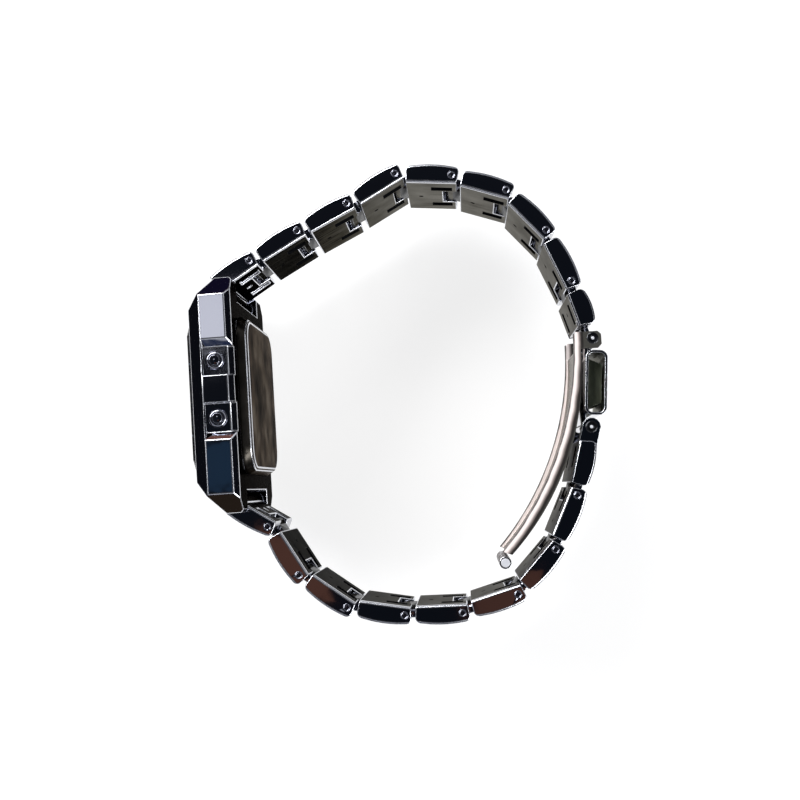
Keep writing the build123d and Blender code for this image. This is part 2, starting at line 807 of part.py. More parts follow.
# Latch block inside the cover: it stands on the inner sheet and catches the blade's tube
latch_foot_v = cover_wall - cover_inner_drop
latch_top_v = cover_outer_rise - cover_wall - latch_clearance
latch_start_u = cover_end_gap + latch_end_gap
latch_end_u = cover_span - latch_start_u
with BuildPart() as cover_latch:
    with BuildSketch(cover_plane.offset(-latch_half)):
        with BuildLine():
            Polyline(
                (latch_start_u, latch_foot_v),
                (latch_start_u + latch_slope, latch_top_v),
                (latch_end_u - latch_slope, latch_top_v),
                (latch_end_u, latch_foot_v),
                close=True,
            )
        make_face()
    extrude(amount=2 * latch_half)
save(cover_latch, "cover_latch")

# Clasp blade: a bowed plate between two thicker rails, whose ears turn on the upper clasp pin
blade_heading = cover_heading + blade_turn
blade_plane = link_plane(upper_pivots[-1], blade_heading, 1)
ear_plane = link_plane(upper_pivots[-1], blade_heading + blade_ear_turn, 1)


def bow(u):
    """The height of the blade's bowed middle line at this distance along it."""
    run = u - blade_crown_u
    return blade_crown_v - blade_radius + (blade_radius * blade_radius - run * run) ** 0.5


def bowed_strip(plane, start_u, halves, width):
    """A strip along the bow, its half thickness given at its start, middle and end."""
    start_half, middle_half, end_half = halves
    start_v = bow(start_u)
    end_v = bow(blade_end_u)
    with BuildSketch(plane) as strip:
        with BuildLine() as outline:
            middle = (blade_crown_u, blade_crown_v + middle_half)
            outer = ThreePointArc((start_u, start_v + start_half), middle, (blade_end_u, end_v + end_half))
            middle = (blade_crown_u, blade_crown_v - middle_half)
            inner = ThreePointArc((start_u, start_v - start_half), middle, (blade_end_u, end_v - end_half))
            Line(outer @ 0, inner @ 0)
            Line(outer @ 1, inner @ 1)
        make_face(outline.edges())
    extrude(strip.sketch, amount=width)


rail_halves = (blade_rail_start_half, blade_rail_middle_half, blade_rail_end_half)
plate_halves = (blade_plate_thickness / 2,) * 3
rail_width = blade_rail_far - blade_rail_near
with BuildPart() as clasp_blade:
    plate_plane = blade_plane.offset(-blade_plate_half)
    bowed_strip(plate_plane, blade_plate_start_u, plate_halves, 2 * blade_plate_half)
    for low in (blade_rail_near, -blade_rail_far):
        bowed_strip(blade_plane.offset(low), blade_start_u, rail_halves, rail_width)
        with BuildSketch(ear_plane.offset(low)) as ear:
            with Locations((-blade_ear_above, -blade_ear_inward)):
                Rectangle(
                    blade_ear_above + blade_ear_below,
                    blade_ear_inward + blade_ear_outward,
                    align=(Align.MIN, Align.MIN),
                )
            outer = [v for v in ear.vertices() if ear_plane.to_local_coords(v).Y > 0]
            chamfer(outer, blade_ear_corner)
            RegularPolygon(pin_radius + pin_clearance, small_sides, mode=Mode.SUBTRACT)
        extrude(amount=rail_width)
    # the end is hollowed to the tube that is brazed to it
    with BuildSketch(blade_plane.offset(-half_band)):
        with Locations((tube_u, tube_v)):
            RegularPolygon(tube_radius, tube_sides)
    extrude(amount=band_width, mode=Mode.SUBTRACT)
save(clasp_blade, "clasp_blade")

# Blade tube: a cross tube at the free end, with grooves along its middle
with BuildPart() as blade_tube:
    with BuildSketch(blade_plane.offset(-blade_rail_far)):
        with Locations((tube_u, tube_v)):
            RegularPolygon(tube_radius, tube_sides)
    extrude(amount=2 * blade_rail_far)
    for number in range(tube_grooves):
        groove_z = (number - (tube_grooves - 1) / 2) * tube_groove_spacing - tube_groove_width / 2
        with BuildSketch(blade_plane.offset(groove_z)):
            with Locations((tube_u, tube_v)):
                RegularPolygon(tube_radius + cut_over, tube_sides)
                RegularPolygon(tube_radius - tube_groove_depth, tube_sides, mode=Mode.SUBTRACT)
        extrude(amount=tube_groove_width, mode=Mode.SUBTRACT)
save(blade_tube, "blade_tube")
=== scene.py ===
"""Looks of a chromed digital watch on a folded-link bracelet, lying on the side of its case."""

import json
import math
from collections import namedtuple

import bmesh
import bpy
from bpy.props import FloatProperty, FloatVectorProperty, IntProperty, PointerProperty, StringProperty
from mathutils import Matrix, Vector


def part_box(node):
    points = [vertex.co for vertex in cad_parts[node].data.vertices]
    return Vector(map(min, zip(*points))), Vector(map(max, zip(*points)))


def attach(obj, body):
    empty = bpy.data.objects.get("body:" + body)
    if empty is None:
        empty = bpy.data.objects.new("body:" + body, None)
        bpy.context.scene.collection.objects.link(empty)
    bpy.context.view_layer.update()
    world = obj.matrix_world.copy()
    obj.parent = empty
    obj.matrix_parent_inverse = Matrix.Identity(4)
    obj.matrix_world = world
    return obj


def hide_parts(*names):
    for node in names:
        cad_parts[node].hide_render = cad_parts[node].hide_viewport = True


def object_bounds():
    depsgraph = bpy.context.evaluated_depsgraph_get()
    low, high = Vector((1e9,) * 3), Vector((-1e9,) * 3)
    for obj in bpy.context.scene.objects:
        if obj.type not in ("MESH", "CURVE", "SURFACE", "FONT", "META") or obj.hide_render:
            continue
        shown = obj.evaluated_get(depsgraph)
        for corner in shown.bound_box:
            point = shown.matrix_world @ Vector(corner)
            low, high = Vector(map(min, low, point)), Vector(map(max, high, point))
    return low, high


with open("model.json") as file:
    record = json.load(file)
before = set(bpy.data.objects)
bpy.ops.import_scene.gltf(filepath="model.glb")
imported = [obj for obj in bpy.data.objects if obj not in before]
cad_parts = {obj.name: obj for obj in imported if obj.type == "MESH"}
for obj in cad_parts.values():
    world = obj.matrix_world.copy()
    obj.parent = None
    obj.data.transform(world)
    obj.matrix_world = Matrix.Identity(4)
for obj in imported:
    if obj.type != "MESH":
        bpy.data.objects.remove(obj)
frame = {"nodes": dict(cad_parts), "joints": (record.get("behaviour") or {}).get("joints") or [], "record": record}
cad_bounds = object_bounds()

bl_info = {
    "name": "Digital watch looks",
    "version": (1, 0, 0),
    "blender": (4, 5, 0),
    "location": "View3D > Sidebar > Watch",
    "description": "Dresses the solids of a chromed digital watch in their real finishes",
    "category": "Object",
}

MM = 0.001
LINKS = range(1, 10)
# Each half of the bracelet: 1 where the outside is left of a link's direction, -1 where it is right
HALVES = {"upper": 1, "lower": -1}
# The pushers, and which way each faces along Z
PUSHERS = {"2_oclock": 1, "4_oclock": 1, "8_oclock": -1, "10_oclock": -1}


def length_property(name, description, default):
    return FloatProperty(name=name, description=description, default=default, unit="LENGTH", precision=6)


def colour_property(name, description, default):
    return StringProperty(name=name, description=description, default=default)


class WatchSizes(bpy.types.PropertyGroup):
    """Sizes of the finishing details, and where the camera stands."""

    case_edge: length_property("Case edge", "Rounding of the case's edges", 0.16 * MM)
    link_edge: length_property("Link edge", "Rounding of the links' edges", 0.18 * MM)
    ear_edge: length_property(
        "Ear edge", "Rounding of the last links, whose ears and hook are thin", 0.08 * MM)
    clasp_edge: length_property("Clasp edge", "Rounding of the clasp's edges", 0.12 * MM)
    glass_edge: length_property("Glass edge", "Rounding of the glass's edges", 0.08 * MM)
    pin_rim: length_property("Pin rim", "Radius of the bright ring round a link pin", 0.74 * MM)
    clasp_rim: length_property("Clasp pin rim", "Radius of the ring round a pin of the clasp", 1.05 * MM)
    lower_ear_reach: length_property(
        "Lower ear reach", "How far the ears of the last lower link stand from its middle", 9.8 * MM)
    rail_width: length_property(
        "Rail width", "Width of the lines of colour across a rail of the blade", 2.0 * MM)
    sleeve_radius: length_property("Sleeve radius", "Radius of a pusher's sleeve", 1.7 * MM)
    sleeve_bore: length_property("Sleeve bore", "Radius of the bore in a pusher's sleeve", 1.0 * MM)
    sleeve_shoulder: length_property(
        "Sleeve shoulder", "How far under its crown a sleeve reaches its full radius", 0.46 * MM)
    sleeve_length: length_property("Sleeve length", "Length of the turned sleeve", 0.65 * MM)
    pusher_radius: length_property("Pusher radius", "Radius of a pusher's head", 0.95 * MM)
    pusher_head: length_property("Pusher head", "Length of a pusher's head", 1.3 * MM)
    pusher_stem: length_property("Pusher stem", "Radius of a pusher's stem", 0.5 * MM)
    stem_taper: length_property("Stem taper", "Length of the taper at the end of a stem", 0.55 * MM)
    digit_height: length_property(
        "Digit height", "Height of the hours and minutes on the display", 4.6 * MM)
    brush_pitch: length_property(
        "Brush pitch", "Distance between the belt's marks, drawn as coarse as they need to show", 0.5 * MM)
    flag_radius: length_property("Flag radius", "Radius of the ring of dark cloths", 0.13)
    flag_height: length_property("Flag height", "Height of the ring of dark cloths", 0.075)
    view_place: FloatVectorProperty(
        name="Camera place", description="Where the camera stands over the watch",
        default=(42.25 * MM, -18.7 * MM, 232.5 * MM), subtype="TRANSLATION", precision=5)
    view_roll: FloatProperty(
        name="Camera roll", description="Turn of the camera about the vertical",
        default=math.radians(3.7), subtype="ANGLE")
    view_focal: FloatProperty(
        name="Focal length", description="Focal length, in pixels of the picture",
        default=1150.0, subtype="PIXEL")
    view_down_right: FloatProperty(
        name="Right of the middle", default=65.0, subtype="PIXEL",
        description="How far right of the middle the point under the camera shows, in pixels")
    view_down_low: FloatProperty(
        name="Below the middle", default=85.0, subtype="PIXEL",
        description="How far below the middle the point under the camera shows, in pixels")
    picture_side: IntProperty(
        name="Picture side", description="Width and height of the picture in pixels",
        default=800, subtype="PIXEL")


class WatchColours(bpy.types.PropertyGroup):
    """Colours of the finishes, as sRGB hex values."""

    chrome: colour_property("Chrome", "Polished chrome plate", "#9496A0")
    brushed: colour_property("Brushed steel", "Skin side of the links", "#5E5D59")
    satin: colour_property("Satin steel", "Blade of the clasp", "#A79E98")
    back: colour_property("Back", "Brushed back of the case", "#3C3935")
    # Case rear: a dark steel colour that is painted shade, on the case's wrist side and the end links' skin side
    rear_painted_shade: colour_property("Case rear", "Wrist side of the case and of the end links", "#1C1A19")
    # Edge: painted highlight, on the rounded edges and on the turned ends of the tube and the clasp pins
    edge: colour_property("Edge", "Rounded edges, brighter than the faces", "#DCDEE4")
    cover: colour_property("Cover", "Folded inside of the clasp's cover", "#6C7262")
    latch: colour_property("Latch", "Catch inside the clasp's cover", "#9DA28F")
    tube: colour_property("Tube", "Cross tube of the blade", "#4A3E37")
    # Recess: near black, painted shade in the folds, slots and pockets
    recess: colour_property("Recess", "Dull metal inside the folds", "#1B1C1F")
    dial: colour_property("Dial plate", "Printed plate round the display", "#0B0D16")
    panel: colour_property("Display", "Liquid crystal panel", "#8A9280")
    segment: colour_property("Segment", "Dark segments of the display", "#1A1D1B")
    print_line: colour_property("Printed line", "Fine lines printed on the dial plate", "#9AA4B4")
    floor: colour_property("Floor", "Card of the floor, before its glow is added", "#8C8C8C")


def sizes():
    return bpy.context.scene.watch_sizes


def colours():
    return bpy.context.scene.watch_colours


def linear(hex_value, alpha=1.0):
    """An sRGB hex value as the linear colour that a shader takes."""
    channels = [int(hex_value[i : i + 2], 16) / 255 for i in (1, 3, 5)]
    return [c / 12.92 if c <= 0.04045 else ((c + 0.055) / 1.055) ** 2.4 for c in channels] + [alpha]


def add_node(tree, kind, settings=None, **inputs):
    """Add one node with its settings, and join or set its inputs.

    An input is named with _ for each space in its name, or i and its number.
    """
    node = tree.nodes.new(kind)
    for key, value in (settings or {}).items():
        setattr(node, key, value)
    for key, value in inputs.items():
        numbered = key[0] == "i" and key[1:].isdigit()
        socket = node.inputs[int(key[1:]) if numbered else key.replace("_", " ")]
        if isinstance(value, bpy.types.NodeSocket):
            tree.links.new(value, socket)
        else:
            socket.default_value = value
    return node


def new_material(name):
    """An empty node material and its tree."""
    material = bpy.data.materials.new(name)
    material.use_nodes = True
    material.node_tree.nodes.clear()
    return material, material.node_tree


def set_ramp(node, steps):
    """Give a colour ramp these steps of position and linear colour."""
    elements = node.color_ramp.elements
    for index, (position, colour) in enumerate(steps):
        element = elements[index] if index < 2 else elements.new(position)
        element.position = position
        element.color = colour


def chrome_plate():
    """Polished chrome plate on pressed steel: a mirror with faint smears and a slight ripple.

    Its colour is darker than that of bare chrome, to match the photo.
    """
    material, tree = new_material("polished_chrome_plate")
    place = add_node(tree, "ShaderNodeTexCoord").outputs["Object"]
    smear = add_node(tree, "ShaderNodeTexNoise", Vector=place, Scale=1 / (6 * MM), Detail=4.0)
    rough = add_node(tree, "ShaderNodeMapRange", Value=smear.outputs["Fac"], To_Min=0.02, To_Max=0.07)
    ripple = add_node(tree, "ShaderNodeTexNoise", Vector=place, Scale=1 / (2.5 * MM), Detail=1.0)
    bump = add_node(
        tree, "ShaderNodeBump", Height=ripple.outputs["Fac"], Strength=0.035, Distance=0.2 * MM)
    shader = add_node(
        tree, "ShaderNodeBsdfPrincipled", Base_Color=linear(colours().chrome), Metallic=1.0,
        Roughness=rough.outputs[0], Normal=bump.outputs[0])
    add_node(tree, "ShaderNodeOutputMaterial", Surface=shader.outputs[0])
    return material


def skin_shade(tree, place):
    """A share that darkens the links' skin side towards the case and in the lower half.

    The photo shows it so, most likely from its light. The lamps here don't give it, so it is colour.
    """
    axes = add_node(tree, "ShaderNodeSeparateXYZ", Vector=place)
    along = add_node(
        tree, "ShaderNodeMapRange", {"interpolation_type": "SMOOTHSTEP"}, Value=axes.outputs["X"],
        From_Min=8 * MM, From_Max=42 * MM, To_Min=0.35, To_Max=1.0)
    upward = add_node(
        tree, "ShaderNodeMapRange", Value=axes.outputs["Y"],
        From_Min=-40 * MM, From_Max=35 * MM, To_Min=0.75, To_Max=1.35)
    both = add_node(
        tree, "ShaderNodeMath", {"operation": "MULTIPLY"}, i0=along.outputs[0], i1=upward.outputs[0])
    return both.outputs[0]


def brushed_steel(name, hex_value, rough, relief, pitch, across=2, graze="#B0AEAA", tones=(0.62, 1.3),
                  shaded=False):
    """Stainless steel brushed by a belt: its marks differ mainly across the belt, along this axis.

    The graze colour sets how dark it is at a grazing angle, and is matched to the photo.
    The marks go from the first to the second of the tones, times its colour.
    """
    material, tree = new_material(name)
    place = add_node(tree, "ShaderNodeTexCoord").outputs["Object"]
    mark_length, cloud_size = 9 * MM, 5 * MM
    scales = [1 / mark_length] * 3
    scales[across] = 1 / pitch
    stretch = add_node(tree, "ShaderNodeMapping", Vector=place, Scale=scales)
    marks = add_node(tree, "ShaderNodeTexNoise", Vector=stretch.outputs[0], Scale=1.0, Detail=3.0)
    cloud = add_node(tree, "ShaderNodeTexNoise", Vector=place, Scale=1 / cloud_size, Detail=2.0)
    blend = add_node(
        tree, "ShaderNodeMix", {"data_type": "FLOAT"},
        Factor=0.35, i2=marks.outputs["Fac"], i3=cloud.outputs["Fac"])
    tone = add_node(
        tree, "ShaderNodeMapRange", Value=blend.outputs[0],
        From_Min=0.3, From_Max=0.7, To_Min=tones[0], To_Max=tones[1])
    share = tone.outputs[0]
    if shaded:
        shade = add_node(
            tree, "ShaderNodeMath", {"operation": "MULTIPLY"}, i0=share, i1=skin_shade(tree, place))
        share = shade.outputs[0]
    face, grazed = (
        add_node(
            tree, "ShaderNodeVectorMath", {"operation": "SCALE"}, i0=linear(each)[:3], Scale=share)
        for each in (hex_value, graze))
    uneven = add_node(
        tree, "ShaderNodeMapRange", Value=marks.outputs["Fac"], To_Min=rough[0], To_Max=rough[1])
    bump = add_node(
        tree, "ShaderNodeBump", Height=marks.outputs["Fac"], Strength=relief, Distance=0.05 * MM)
    shader = add_node(
        tree, "ShaderNodeBsdfPrincipled", Base_Color=face.outputs[0], Metallic=1.0,
        Roughness=uneven.outputs[0], Normal=bump.outputs[0], Specular_Tint=grazed.outputs[0])
    add_node(tree, "ShaderNodeOutputMaterial", Surface=shader.outputs[0])
    return material


def blade_arc():
    """The centre and the radius of the inner side of the blade's rails.

    It is the circle through three corners of the blade's side face: the one with the least x,
    and the innermost ones near its middle and near its upper end.
    """
    low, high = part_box("clasp_blade")
    touch, near, from_end = 0.01 * MM, 1.2 * MM, 3 * MM
    corners = [v.co for v in frame["nodes"]["clasp_blade"].data.vertices if v.co.z > high.z - touch]
    a = min(corners, key=lambda c: c.x)
    b, c = (
        min((k for k in corners if abs(k.y - level) < near), key=lambda k: k.x)
        for level in ((low.y + high.y) / 2, high.y - from_end))
    turn = 2 * (a.x * (b.y - c.y) + b.x * (c.y - a.y) + c.x * (a.y - b.y))
    squares = [k.x ** 2 + k.y ** 2 for k in (a, b, c)]
    centre = (
        (squares[0] * (b.y - c.y) + squares[1] * (c.y - a.y) + squares[2] * (a.y - b.y)) / turn,
        (squares[0] * (c.x - b.x) + squares[1] * (a.x - c.x) + squares[2] * (b.x - a.x)) / turn)
    return centre, math.hypot(a.x - centre[0], a.y - centre[1])


# From the inner side of a rail outwards: share of its width, colour. The pale steps are a painted highlight and
# the dark ones painted shade
RAIL_PAINTED_LIGHT = (
    (0.0, "#1E1A18"), (0.12, "#2A2422"), (0.22, "#FFF4F0"), (0.42, "#F0E4E0"), (0.58, "#8C827E"),
    (0.74, "#2E2A28"), (0.9, "#1E1B1A"), (1.0, "#3C3B37"),
)
# How far these lines wander, as a share of the rail's width
RAIL_SWAY_SHARE = 0.16


def satin_rail():
    """The blade's rails, with the dark, bright and dark lines along them that the photo shows.

    They are a painted highlight between painted shade: colour in place of reflections on a rounded edge, so that
    they stay at every view.
    """
    material, tree = new_material("stainless_rail_satin_painted_light")
    centre, radius = blade_arc()
    place = add_node(tree, "ShaderNodeTexCoord").outputs["Object"]
    axes = add_node(tree, "ShaderNodeSeparateXYZ", Vector=place)
    flat = add_node(tree, "ShaderNodeCombineXYZ", X=axes.outputs["X"], Y=axes.outputs["Y"])
    reach = add_node(
        tree, "ShaderNodeVectorMath", {"operation": "DISTANCE"}, i0=flat.outputs[0], i1=(*centre, 0))
    across = add_node(
        tree, "ShaderNodeMapRange", Value=reach.outputs["Value"],
        From_Min=radius, From_Max=radius + sizes().rail_width)
    streak = add_node(tree, "ShaderNodeTexNoise", Vector=place, Scale=1 / (3 * MM), Detail=2.0)
    sway = add_node(
        tree, "ShaderNodeMath", {"operation": "MULTIPLY_ADD"},
        i0=streak.outputs["Fac"], i1=RAIL_SWAY_SHARE, i2=across.outputs[0])
    tint = add_node(tree, "ShaderNodeValToRGB", Fac=sway.outputs[0])
    set_ramp(tint, [(position, linear(shade)) for position, shade in RAIL_PAINTED_LIGHT])
    shader = add_node(
        tree, "ShaderNodeBsdfPrincipled", Base_Color=tint.outputs[0], Metallic=0.1, Roughness=0.38)
    add_node(tree, "ShaderNodeOutputMaterial", Surface=shader.outputs[0])
    return material


def recess_metal():
    """Bare steel inside folds and slots, drawn near black: painted shade."""
    material, tree = new_material("steel_in_folds_painted_shade")
    place = add_node(tree, "ShaderNodeTexCoord").outputs["Object"]
    grain = add_node(tree, "ShaderNodeTexNoise", Vector=place, Scale=1 / (0.4 * MM), Detail=3.0)
    rough = add_node(tree, "ShaderNodeMapRange", Value=grain.outputs["Fac"], To_Min=0.25, To_Max=0.5)
    shader = add_node(
        tree, "ShaderNodeBsdfPrincipled", Base_Color=linear(colours().recess), Metallic=1.0,
        Roughness=rough.outputs[0])
    add_node(tree, "ShaderNodeOutputMaterial", Surface=shader.outputs[0])
    return material


def mineral_glass():
    """Mineral glass, ground and polished: clear, with a faint cool cast."""
    material, tree = new_material("mineral_glass_polished")
    place = add_node(tree, "ShaderNodeTexCoord").outputs["Object"]
    haze = add_node(tree, "ShaderNodeTexNoise", Vector=place, Scale=1 / (3 * MM), Detail=2.0)
    rough = add_node(tree, "ShaderNodeMapRange", Value=haze.outputs["Fac"], To_Min=0.0, To_Max=0.03)
    shader = add_node(
        tree, "ShaderNodeBsdfPrincipled", Base_Color=linear("#E8EEF0"), Roughness=rough.outputs[0],
        IOR=1.52, Transmission_Weight=1.0)
    add_node(tree, "ShaderNodeOutputMaterial", Surface=shader.outputs[0])
    return material


def fine_grained(name, hex_value, rough, grain_size, metallic=0.0):
    """A moulded, printed, pressed or burnished surface with a fine grain of this size."""
    material, tree = new_material(name)
    place = add_node(tree, "ShaderNodeTexCoord").outputs["Object"]
    grain = add_node(tree, "ShaderNodeTexNoise", Vector=place, Scale=1 / grain_size, Detail=3.0)
    tint = add_node(tree, "ShaderNodeValToRGB", Fac=grain.outputs["Fac"])
    dark, light = (
        [min(channel * share, 1.0) for channel in linear(hex_value)[:3]] + [1.0] for share in (0.85, 1.12))
    set_ramp(tint, ((0.0, dark), (1.0, light)))
    uneven = add_node(
        tree, "ShaderNodeMapRange", Value=grain.outputs["Fac"], To_Min=rough[0], To_Max=rough[1])
    shader = add_node(
        tree, "ShaderNodeBsdfPrincipled", Base_Color=tint.outputs[0], Metallic=metallic,
        Roughness=uneven.outputs[0])
    add_node(tree, "ShaderNodeOutputMaterial", Surface=shader.outputs[0])
    return material


# How each finish is made, and what it gives the eye. The metals' colours are matched to the photo
FINISHES = {
    "chrome": chrome_plate,
    # chromed edges with a painted highlight: thin bright lines
    "edge": lambda: fine_grained("chrome_edge_painted_highlight", colours().edge, (0.18, 0.34), 1.5 * MM, 1.0),
    # steel turned on its end, with a painted highlight: a soft bright spot
    "bright_face": lambda: fine_grained("stainless_end_turned_painted_highlight", colours().edge, (0.4, 0.55), 1 * MM, 0.4),
    # satin rails with a painted highlight between painted shade along them
    "blade_edge": satin_rail,
    # steel brushed by a belt: grey, with fine lines that run along the bracelet, and painted shade towards the
    # case and in the lower half
    "skin_side": lambda: brushed_steel(
        "stainless_steel_brushed", colours().brushed, (0.28, 0.42), 0.35, sizes().brush_pitch,
        shaded=True),
    # brushed back plate: its marks are drawn much coarser than real ones, so that they show
    "back": lambda: brushed_steel(
        "stainless_back_brushed", colours().back, (0.24, 0.38), 0.4, 10 * sizes().brush_pitch,
        graze="#8E8882", tones=(0.3, 2.0)),
    # brushed wrist side of the case, and skin side of the end links: darker by painted shade, and its marks are
    # drawn coarser too
    "rear_painted_shade": lambda: brushed_steel(
        "stainless_rear_brushed_painted_shade", colours().rear_painted_shade, (0.24, 0.38), 0.4, 4 * sizes().brush_pitch,
        graze="#5C5854"),
    # drawn tube: smooth and brownish
    "tube": lambda: brushed_steel(
        "stainless_tube_drawn", colours().tube, (0.2, 0.3), 0.2, sizes().brush_pitch, graze="#988C84"),
    # brushed catch: pale, a little green, with marks the other way
    "latch": lambda: brushed_steel(
        "stainless_latch_brushed", colours().latch, (0.36, 0.5), 0.3, 2 * sizes().brush_pitch, across=0),
    # satin blade: warm grey, with faint marks
    "blade": lambda: brushed_steel(
        "stainless_blade_satin", colours().satin, (0.16, 0.3), 0.2, sizes().brush_pitch,
        tones=(0.85, 1.1)),
    # pressed and folded strip: a little green, with coarser marks
    "cover_inside": lambda: brushed_steel(
        "stainless_cover_folded", colours().cover, (0.2, 0.36), 0.3, 2 * sizes().brush_pitch),
    "recess": recess_metal,
    "glass": mineral_glass,
    # printed polycarbonate, liquid crystal and ink: smooth and even
    "dial": lambda: fine_grained("screen_printed_polycarbonate", colours().dial, (0.2, 0.32), 0.5 * MM),
    "panel": lambda: fine_grained("liquid_crystal_panel", colours().panel, (0.35, 0.5), 2 * MM),
    "segment": lambda: fine_grained("liquid_crystal_segment", colours().segment, (0.4, 0.5), 1 * MM),
    "line": lambda: fine_grained("screen_printed_ink", colours().print_line, (0.4, 0.5), 0.6 * MM),
    # drawn wire: smooth grey metal
    "pin": lambda: fine_grained("drawn_steel_wire", "#5A5B5E", (0.12, 0.25), 0.3 * MM, 1.0),
    # the pieces inside the case: matt black, green, bright grey, yellow, and dull black
    "plastic": lambda: fine_grained("moulded_abs_black", "#121212", (0.4, 0.55), 0.3 * MM),
    "board": lambda: fine_grained("glass_fibre_board", "#12452A", (0.3, 0.45), 0.4 * MM),
    "steel_can": lambda: fine_grained("pressed_nickel_steel", "#8E8E8E", (0.2, 0.35), 0.5 * MM, 1.0),
    "brass": lambda: fine_grained("bare_brass_leaf", "#B08A3C", (0.25, 0.4), 0.4 * MM, 1.0),
    "rubber": lambda: fine_grained("moulded_nitrile_rubber", "#0E0E0E", (0.6, 0.75), 0.2 * MM),
}
# The finishes that are made already, by name
MADE = {}


def finish(name):
    """A finish by its own name, made at its first use."""
    if name not in MADE:
        MADE[name] = FINISHES[name]()
    return MADE[name]


def body_of(node):
    bodies = frame["record"]["behaviour"]["bodies"]
    return next(body for body, nodes in bodies.items() if node in nodes)


def slot_of(node):
    return next(s["material_slot"] for s in frame["record"]["subparts"] if s["node"] == node)


def place_mesh(name, mesh, body, *finishes):
    """Put a finished mesh in the scene, riding on its body, with these finishes in order."""
    piece = bpy.data.objects.new(name, mesh)
    bpy.context.scene.collection.objects.link(piece)
    for each in finishes:
        mesh.materials.append(finish(each))
    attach(piece, body)
    return piece


def paint(node, name):
    """Give a solid that keeps its shape a finish."""
    mesh = frame["nodes"][node].data
    mesh.materials.clear()
    mesh.materials.append(finish(name))


# Corners closer than WELD are joined, and faces that turn less than FLAT; edges past SHARP are rounded
WELD = 0.0005 * MM
FLAT = math.radians(0.6)
SHARP = math.radians(28)


def softened(node, edge, choose, *finishes, edge_highlight="edge"):
    """A copy of a solid with joined flat faces and rounded edges, which stands for it.

    choose gives the place of each face's finish in the list from the face's normal and centre.
    The last keyword gives the finish of the rounded edges, by default the edge finish with its painted highlight;
    None leaves them like the rest. The edges of a face that has the recess finish stay sharp.
    """
    sheltered = finishes.index("recess") if "recess" in finishes else None
    mesh = bpy.data.meshes.new(f"{node}_finished")
    shape = bmesh.new()
    shape.from_mesh(frame["nodes"][node].data)
    bmesh.ops.remove_doubles(shape, verts=shape.verts, dist=WELD)
    bmesh.ops.dissolve_limit(
        shape, angle_limit=FLAT, use_dissolve_boundaries=False, verts=shape.verts, edges=shape.edges)
    shape.normal_update()
    for face in shape.faces:
        face.smooth = True
        face.material_index = choose(face.normal, face.calc_center_median())
    weights = shape.edges.layers.float.new("bevel_weight_edge")
    for seam in shape.edges:
        turned = len(seam.link_faces) == 2 and seam.calc_face_angle() > SHARP
        exposed = all(face.material_index != sheltered for face in seam.link_faces)
        seam[weights] = 1.0 if turned and exposed else 0.0
    shape.to_mesh(mesh)
    shape.free()
    piece = place_mesh(f"{node}_finished", mesh, body_of(node), *finishes)
    rounding = piece.modifiers.new("rounded_edges", "BEVEL")
    rounding.width = edge
    rounding.segments = 3
    rounding.limit_method = "WEIGHT"
    rounding.use_clamp_overlap = False
    if edge_highlight:
        mesh.materials.append(finish(edge_highlight))
        rounding.material = len(finishes)
    flatten = piece.modifiers.new("flat_faces", "WEIGHTED_NORMAL")
    flatten.mode = "FACE_AREA"
    flatten.weight = 100
    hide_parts(node)
    return piece


# A face that has more than this of its normal along an axis faces that way
FACING, PARTLY_FACING = 0.9, 0.6


def all_over(normal, centre):
    """The first finish on every face."""
    return 0


def sides_first(normal, centre):
    """The first finish on the two side faces of a piece, the second on the rest."""
    return 0 if abs(normal.z) > FACING else 1


def wrist_side(normal, centre):
    """The second finish where the case faces the wrist, the first on the rest."""
    return 1 if normal.x > FACING else 0


def faces_first(normal, centre):
    """The first finish on a plate's front and rear, the second round its rim."""
    return 0 if abs(normal.x) > PARTLY_FACING else 1


def outer_first(node):
    """The first finish on a folded piece's sides and outer faces, the second on those turned inwards."""
    low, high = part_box(node)
    middle = (low + high) / 2

    def choose(normal, centre):
        side = Vector((normal.x, normal.y, 0)).dot(centre - middle)
        return 0 if abs(normal.z) > FACING or side > 0 else 1

    return choose


def lathe(name, profile, centre, up, body, finish_name, steps=40):
    """A turned piece: (radius, height) points round an axis along Z, up or down."""
    mesh = bpy.data.meshes.new(name)
    shape = bmesh.new()
    circle = [2 * math.pi * i / steps for i in range(steps)]
    rings = []
    for radius, height in profile:
        z = centre[2] + up * height
        turns = circle if radius else [0.0]
        rings.append([
            shape.verts.new((centre[0] + radius * math.cos(turn), centre[1] + radius * math.sin(turn), z))
            for turn in turns])
    for low, high in zip(rings, rings[1:]):
        for i in range(steps):
            j = (i + 1) % steps
            if len(low) == 1:
                corners = (low[0], high[j], high[i])
            elif len(high) == 1:
                corners = (low[i], low[j], high[0])
            else:
                corners = (low[i], low[j], high[j], high[i])
            shape.faces.new(corners).smooth = True
    bmesh.ops.recalc_face_normals(shape, faces=shape.faces)
    shape.to_mesh(mesh)
    shape.free()
    return place_mesh(name, mesh, body, finish_name)


def scaled(outline, radius):
    """An outline of shares of a radius and heights in mm, as radii and heights in metres."""
    return [(share * radius, height * MM) for share, height in outline]


def turned_ends(node, radius, levels, *parts, steps=28):
    """Turned parts on both ends of a solid that lies along Z: a name, an outline and a finish for each."""
    low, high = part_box(node)
    body, slot = body_of(node), slot_of(node)
    for side, up, level in zip(("near", "far"), (1, -1), levels):
        centre = ((low.x + high.x) / 2, (low.y + high.y) / 2, level)
        for part, outline, finish_name in parts:
            profile = scaled(outline, radius)
            piece = lathe(f"{node}_{part}_{side}", profile, centre, up, body, finish_name, steps)


def add_box(shape, low, high):
    """Add a box between two corners to a mesh that is being made."""
    for vert in bmesh.ops.create_cube(shape, size=1)["verts"]:
        vert.co = [low[i] + (vert.co[i] + 0.5) * (high[i] - low[i]) for i in range(3)]


